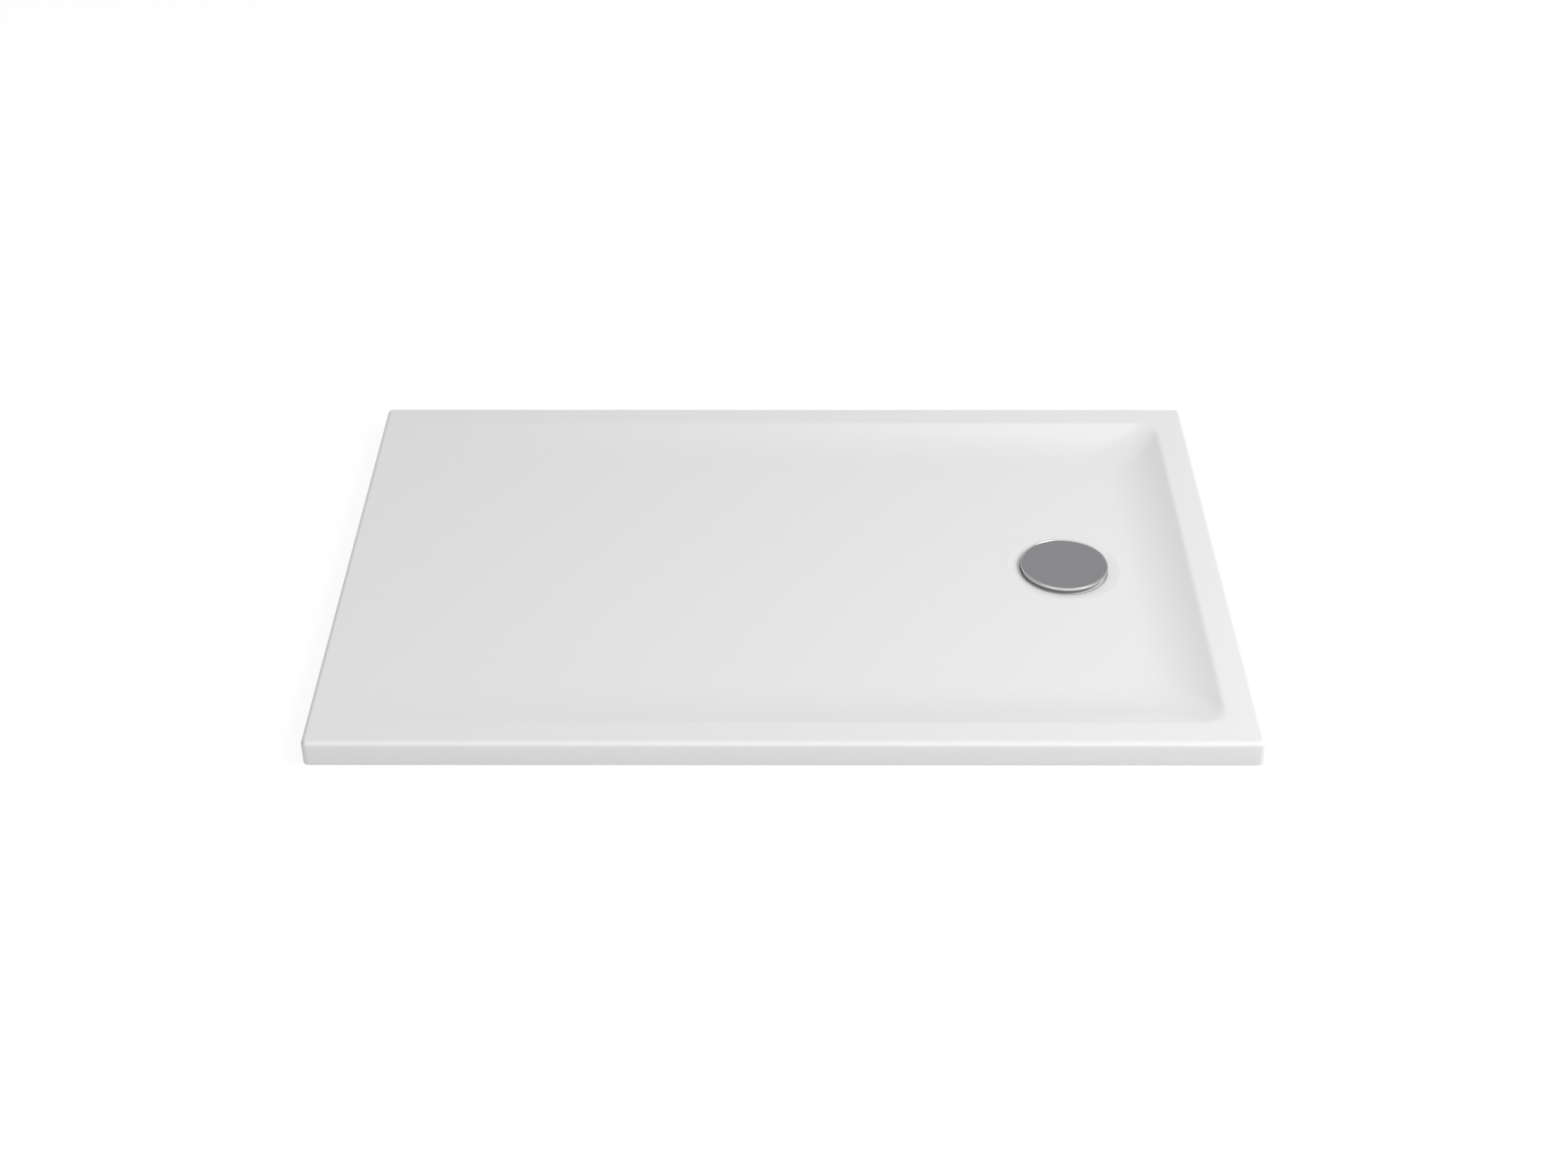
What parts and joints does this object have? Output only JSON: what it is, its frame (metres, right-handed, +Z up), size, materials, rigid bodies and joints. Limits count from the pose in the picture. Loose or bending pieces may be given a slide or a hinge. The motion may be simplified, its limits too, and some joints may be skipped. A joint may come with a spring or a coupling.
{
  "type": "shower tray",
  "caption": "Low rectangular white shower tray: rim on three sides, rimless walk-in end, floor falling to a round covered waste with a lift-out trap insert and swivel outlet.",
  "frame": {"origin": "centre of the tray's underside, where it lies on the floor", "axes": "+Z up, +X towards the drain end (the walk-in edge is at -X), +Y towards the wall behind"},
  "size_m": [1.2, 0.8, 0.1246],
  "materials": {
    "acrylic": "gloss",
    "laminate": "matte",
    "timber": "matte",
    "foam": "matte",
    "board": "matte",
    "rubber": "matte",
    "grey_plastic": "satin",
    "white_plastic": "satin",
    "stainless": "satin",
    "brass": "satin",
    "cover_metal": "polished"
  },
  "bodies": {
    "tray": {"tray_shell": "acrylic", "laminate_backing": "laminate", "batten_front": "timber", "batten_back": "timber", "batten_entry": "timber", "batten_drain_end": "timber", "foam_core": "foam", "base_board": "board", "upper_seal": "rubber", "waste_flange": "white_plastic", "flange_screws": "stainless", "insert_nuts": "brass", "lower_gasket": "rubber", "trap_body": "white_plastic", "trap_cup": "white_plastic", "outlet_socket": "white_plastic", "ball_seal": "rubber", "union_nut": "white_plastic"},
    "outlet": {"outlet_pipe": "white_plastic"},
    "insert": {"siphon_insert": "grey_plastic", "insert_o_ring": "rubber"},
    "sieve": {"hair_sieve": "grey_plastic"},
    "cover": {"cover_cap": "cover_metal", "cover_carrier": "grey_plastic"}
  },
  "joints": [
    {"name": "insert_lift", "type": "slide", "parent": "tray", "child": "insert", "axis": [0, 0, 1], "range_m": [0, 0.13]},
    {"name": "sieve_lift", "type": "slide", "parent": "insert", "child": "sieve", "axis": [0, 0, 1], "range_m": [0, 0.05]},
    {"name": "cover_lift", "type": "slide", "parent": "sieve", "child": "cover", "axis": [0, 0, 1], "range_m": [0, 0.08]},
    {"name": "outlet_swivel", "type": "hinge", "parent": "tray", "child": "outlet", "pos_m": [0.463, 0, -0.03], "axis": [0, 0, 1], "range_deg": [-10, 10]}
  ]
}
